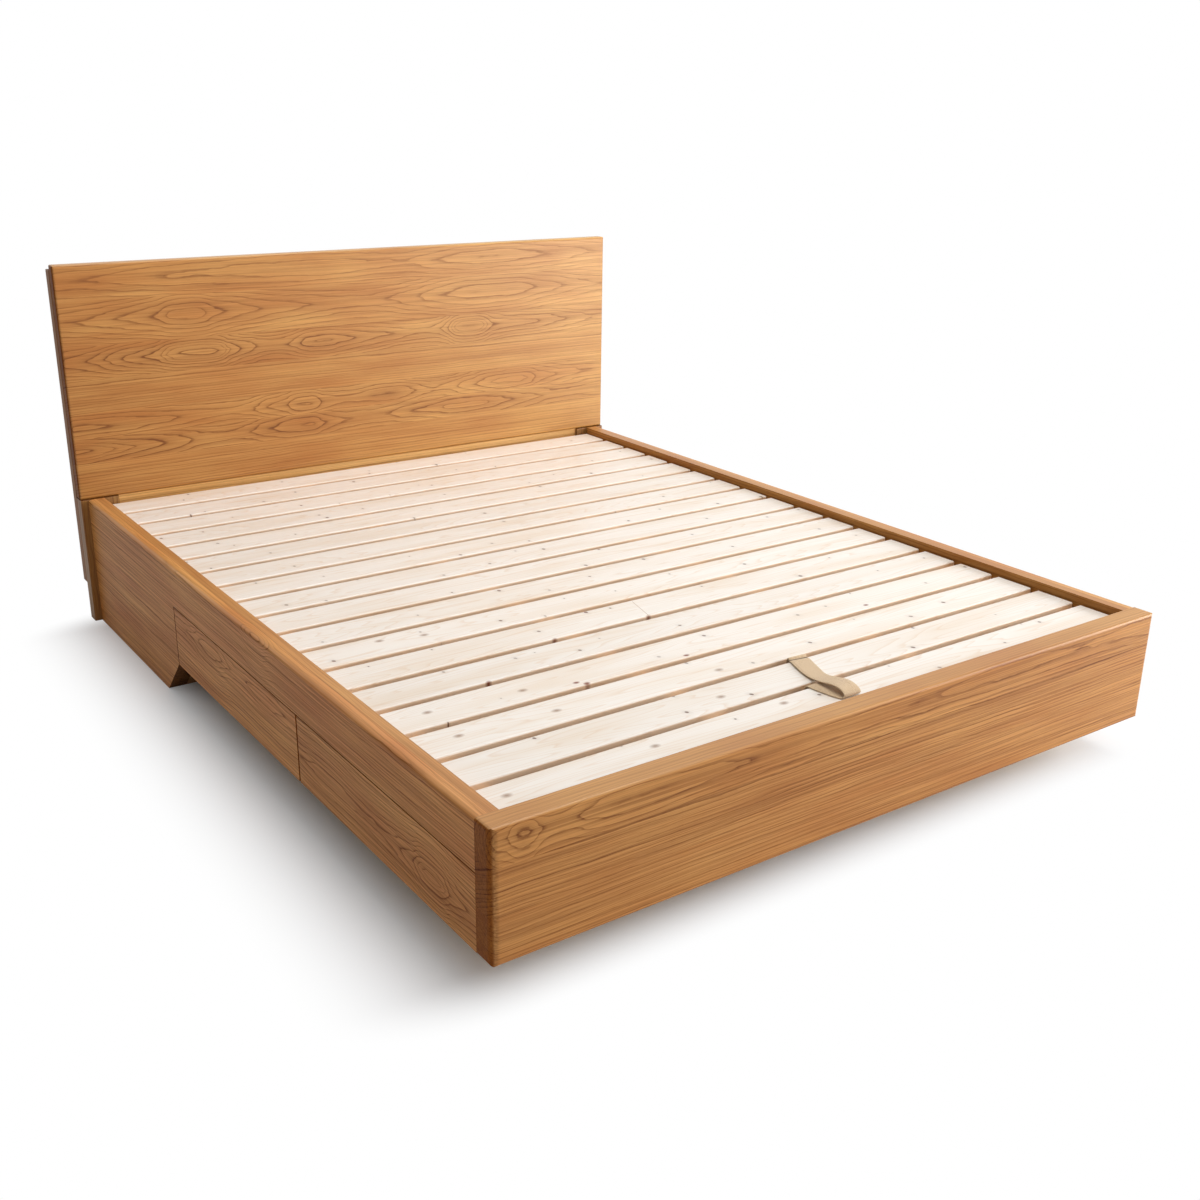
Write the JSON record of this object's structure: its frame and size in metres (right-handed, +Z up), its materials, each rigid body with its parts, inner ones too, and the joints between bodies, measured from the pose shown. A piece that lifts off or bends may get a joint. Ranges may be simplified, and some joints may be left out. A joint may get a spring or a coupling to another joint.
{
  "type": "storage bed",
  "caption": "Floating solid wood bed with a low footboard, a plain panel headboard, drawers in both sides and a lift-up slatted deck over a boxed head compartment.",
  "frame": {"origin": "on the floor under the middle of the bed", "axes": "+X to the right seen from the foot, +Y from the footboard to the headboard, +Z up"},
  "size_m": [1.667, 2.12, 0.936],
  "materials": {
    "hardwood": "oiled, satin",
    "dark_hardwood": "oiled, satin",
    "pine": "planed, bare",
    "plywood": "sanded, bare",
    "bright_steel": "zinc plated",
    "black_steel": "black powder coat",
    "webbing": "woven cotton webbing"
  },
  "bodies": {
    "frame": {"footboard": "hardwood", "left_side_panel": "hardwood", "right_side_panel": "hardwood", "headboard_panel": "hardwood", "left_head_leg": "hardwood", "right_head_leg": "hardwood", "left_back_batten": "dark_hardwood", "right_back_batten": "dark_hardwood", "head_end_board": "hardwood", "sloped_plinth_board": "hardwood", "head_partition": "pine", "mid_partition": "pine", "foot_partition": "pine", "centre_spine": "pine", "plinth_front": "hardwood", "plinth_sides": "hardwood", "compartment_floor": "plywood", "floor_cleats": "pine", "deck_ledgers": "pine", "drawer_runners": "dark_hardwood", "pivot_brackets": "black_steel", "strut_mounts": "black_steel", "corner_brackets": "bright_steel", "bracket_screws": "bright_steel", "batten_screws": "bright_steel"},
    "deck": {"slats_group_1": "pine", "slats_group_2": "pine", "slats_group_3": "pine", "slats_group_4": "pine", "slats_group_5": "pine", "slats_group_6": "pine", "left_outer_stile": "pine", "left_inner_stile": "pine", "right_inner_stile": "pine", "right_outer_stile": "pine", "slat_screws": "bright_steel", "deck_pivot_plates": "black_steel", "strut_brackets": "black_steel", "pull_strap": "webbing"},
    "left_strut_tube_body": {"left_strut_tube": "black_steel"},
    "left_strut_rod_body": {"left_strut_rod": "bright_steel"},
    "right_strut_tube_body": {"right_strut_tube": "black_steel"},
    "right_strut_rod_body": {"right_strut_rod": "bright_steel"},
    "left_foot_drawer": {"left_foot_drawer_front": "hardwood", "left_foot_drawer_sides": "pine", "left_foot_drawer_back": "pine", "left_foot_drawer_bottom": "plywood"},
    "left_head_drawer": {"left_head_drawer_front": "hardwood", "left_head_drawer_sides": "pine", "left_head_drawer_back": "pine", "left_head_drawer_bottom": "plywood"},
    "right_foot_drawer": {"right_foot_drawer_front": "hardwood", "right_foot_drawer_sides": "pine", "right_foot_drawer_back": "pine", "right_foot_drawer_bottom": "plywood"},
    "right_head_drawer": {"right_head_drawer_front": "hardwood", "right_head_drawer_sides": "pine", "right_head_drawer_back": "pine", "right_head_drawer_bottom": "plywood"}
  },
  "joints": [
    {"name": "deck_lift", "type": "hinge", "parent": "frame", "child": "deck", "pos_m": [0, 0.884, 0.285], "axis": [-1, 0, 0], "range_deg": [0, 35]},
    {"name": "left_strut_swing", "type": "hinge", "parent": "frame", "child": "left_strut_tube_body", "pos_m": [-0.754, 0.741, 0.068], "axis": [-1, 0, 0], "range_deg": [0, 17.5]},
    {"name": "left_strut_slide", "type": "slide", "parent": "left_strut_tube_body", "child": "left_strut_rod_body", "axis": [0, -0.5243, 0.8515], "range_m": [0, 0.1338]},
    {"name": "right_strut_swing", "type": "hinge", "parent": "frame", "child": "right_strut_tube_body", "pos_m": [0.754, 0.741, 0.068], "axis": [-1, 0, 0], "range_deg": [0, 17.5]},
    {"name": "right_strut_slide", "type": "slide", "parent": "right_strut_tube_body", "child": "right_strut_rod_body", "axis": [0, -0.5243, 0.8515], "range_m": [0, 0.1338]},
    {"name": "left_foot_drawer_slide", "type": "slide", "parent": "frame", "child": "left_foot_drawer", "axis": [-1, 0, 0], "range_m": [0, 0.45]},
    {"name": "left_head_drawer_slide", "type": "slide", "parent": "frame", "child": "left_head_drawer", "axis": [-1, 0, 0], "range_m": [0, 0.45]},
    {"name": "right_foot_drawer_slide", "type": "slide", "parent": "frame", "child": "right_foot_drawer", "axis": [1, 0, 0], "range_m": [0, 0.45]},
    {"name": "right_head_drawer_slide", "type": "slide", "parent": "frame", "child": "right_head_drawer", "axis": [1, 0, 0], "range_m": [0, 0.45]}
  ],
  "couplings": [
    {"joint": "left_strut_swing", "follows": "deck_lift", "ratio": 0.5},
    {"joint": "left_strut_slide", "follows": "deck_lift", "m_per_rad": 0.219},
    {"joint": "right_strut_swing", "follows": "deck_lift", "ratio": 0.5},
    {"joint": "right_strut_slide", "follows": "deck_lift", "m_per_rad": 0.219}
  ]
}
